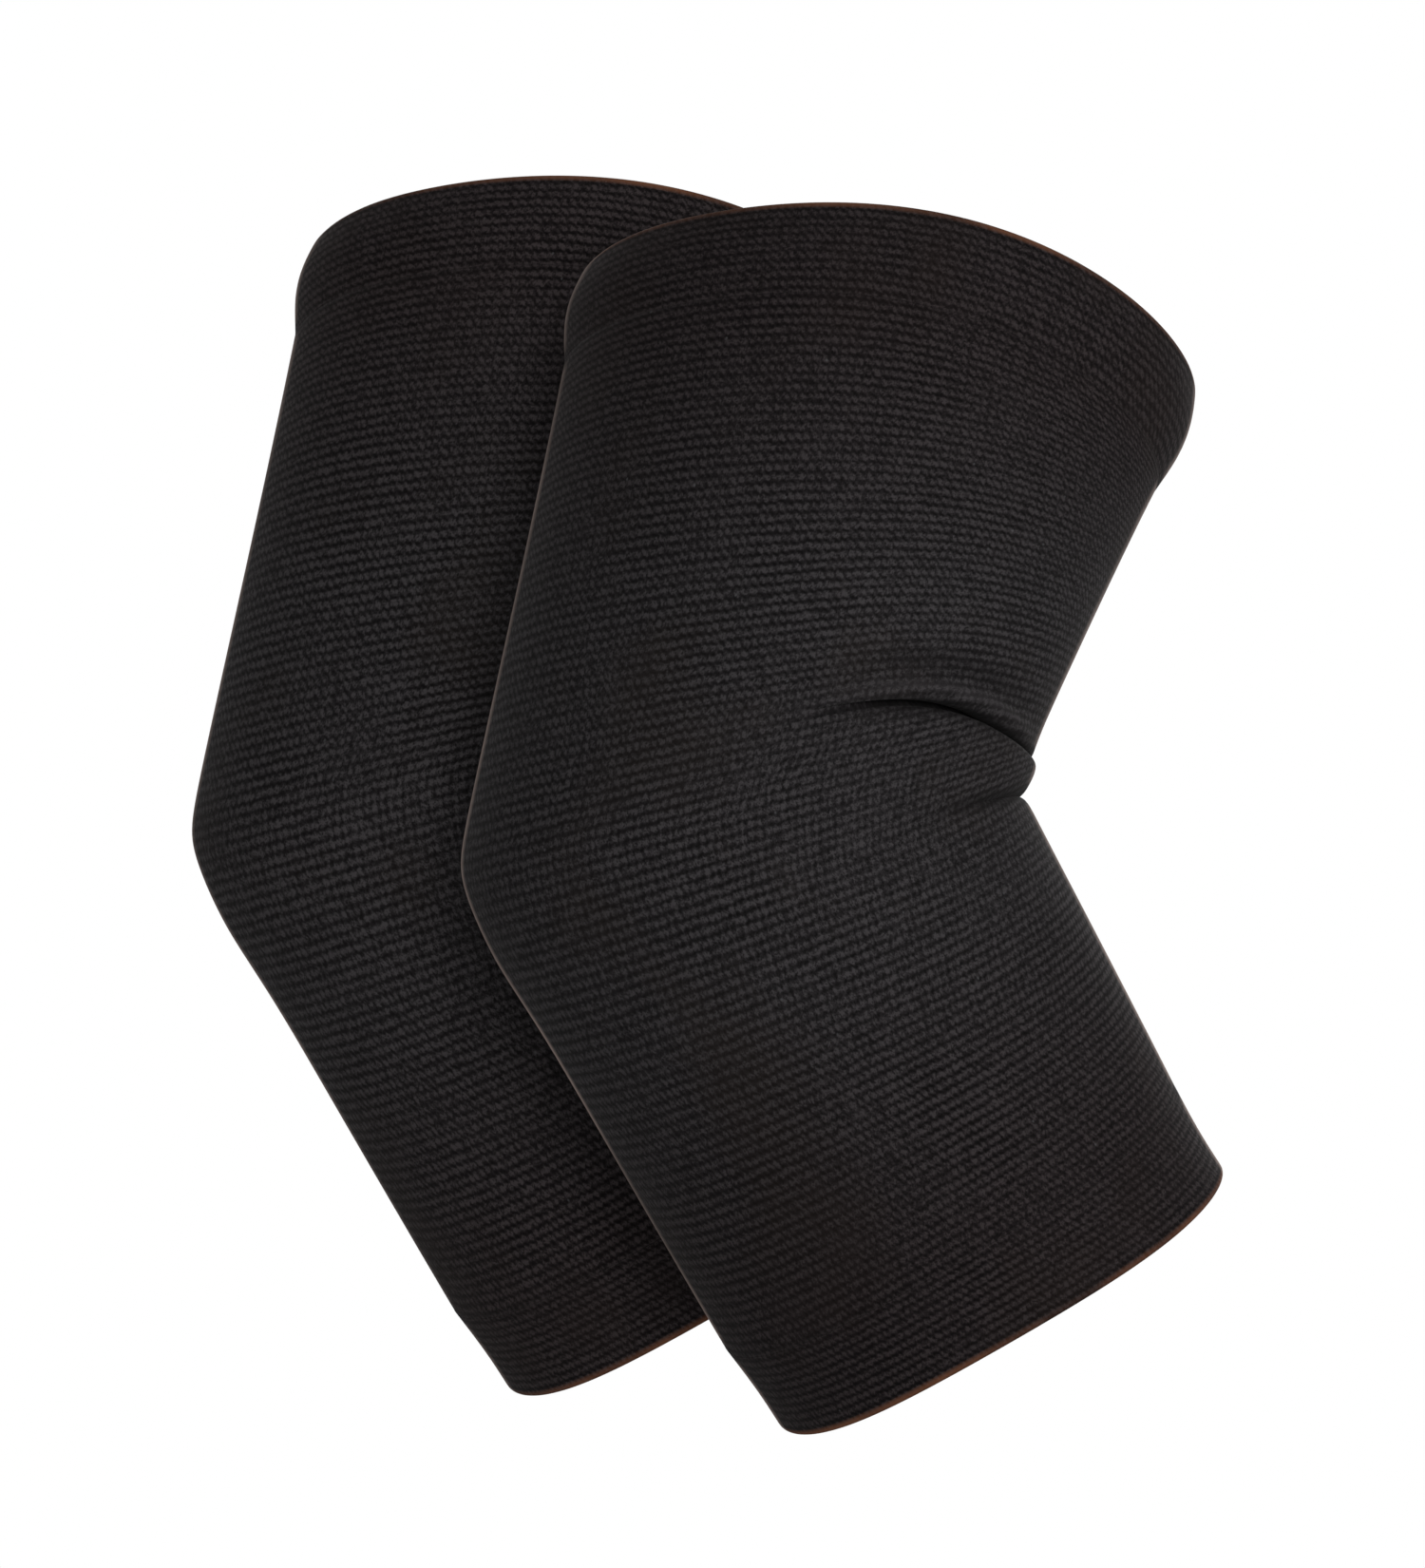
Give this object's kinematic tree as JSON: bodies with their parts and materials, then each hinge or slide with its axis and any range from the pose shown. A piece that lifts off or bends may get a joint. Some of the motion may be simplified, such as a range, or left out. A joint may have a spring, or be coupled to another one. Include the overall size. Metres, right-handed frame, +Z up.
{
  "type": "elbow pad",
  "caption": "Pull-on knit elbow pads bent like a relaxed arm, flared to the upper arm, with folded elastic cuffs, a gathered crook and a thin foam cup behind the elbow.",
  "frame": {"origin": "bend axis of the front sleeve's elbow, in its middle plane", "axes": "+Y along the bend axis, from the front sleeve to the rear one; +Z up; the crook of the elbow faces +X and its point faces -X"},
  "size_m": [0.1738, 0.2157, 0.2278],
  "materials": {
    "knit": "matte fine-gauge black knit",
    "elastic": "woven elastic band",
    "thread": "matte sewing thread",
    "foam": "closed-cell foam"
  },
  "bodies": {
    "front_upper": {"front_upper_cuff": "knit", "front_upper_elastic": "elastic", "front_upper_hem_stitch": "thread", "front_upper_arm_panel": "knit"},
    "front_elbow_cap": {"front_elbow_panel": "knit", "front_elbow_pad": "foam", "front_pad_pocket": "knit", "front_pad_stitch": "thread"},
    "front_forearm": {"front_forearm_panel": "knit", "front_forearm_cuff": "knit", "front_forearm_elastic": "elastic", "front_forearm_hem_stitch": "thread"},
    "rear_upper": {"rear_upper_cuff": "knit", "rear_upper_elastic": "elastic", "rear_upper_hem_stitch": "thread", "rear_upper_arm_panel": "knit"},
    "rear_elbow_cap": {"rear_elbow_panel": "knit", "rear_elbow_pad": "foam", "rear_pad_pocket": "knit", "rear_pad_stitch": "thread"},
    "rear_forearm": {"rear_forearm_panel": "knit", "rear_forearm_cuff": "knit", "rear_forearm_elastic": "elastic", "rear_forearm_hem_stitch": "thread"}
  },
  "joints": [
    {"name": "front_elbow_bend", "type": "hinge", "parent": "front_upper", "child": "front_forearm", "pos_m": [0, 0, 0], "axis": [0, -1, 0], "range_deg": [-54, 44], "stiffness_Nm_per_rad": 0.2, "deforming": ["front_elbow_panel"]},
    {"name": "front_pad_turn", "type": "hinge", "parent": "front_upper", "child": "front_elbow_cap", "pos_m": [0, 0, 0], "axis": [0, -1, 0], "range_deg": [-27, 22]},
    {"name": "rear_elbow_bend", "type": "hinge", "parent": "rear_upper", "child": "rear_forearm", "pos_m": [0.0198, 0.1081, 0.0184], "axis": [0, -1, 0], "range_deg": [-54, 44], "stiffness_Nm_per_rad": 0.2, "deforming": ["rear_elbow_panel"]},
    {"name": "rear_pad_turn", "type": "hinge", "parent": "rear_upper", "child": "rear_elbow_cap", "pos_m": [0.0198, 0.1081, 0.0184], "axis": [0, -1, 0], "range_deg": [-27, 22]},
    {"name": "pair_apart", "type": "slide", "parent": "front_upper", "child": "rear_upper", "axis": [0, 1, 0], "range_m": [0, 0.15]}
  ],
  "couplings": [
    {"joint": "front_pad_turn", "follows": "front_elbow_bend", "ratio": 0.5},
    {"joint": "rear_pad_turn", "follows": "rear_elbow_bend", "ratio": 0.5}
  ]
}
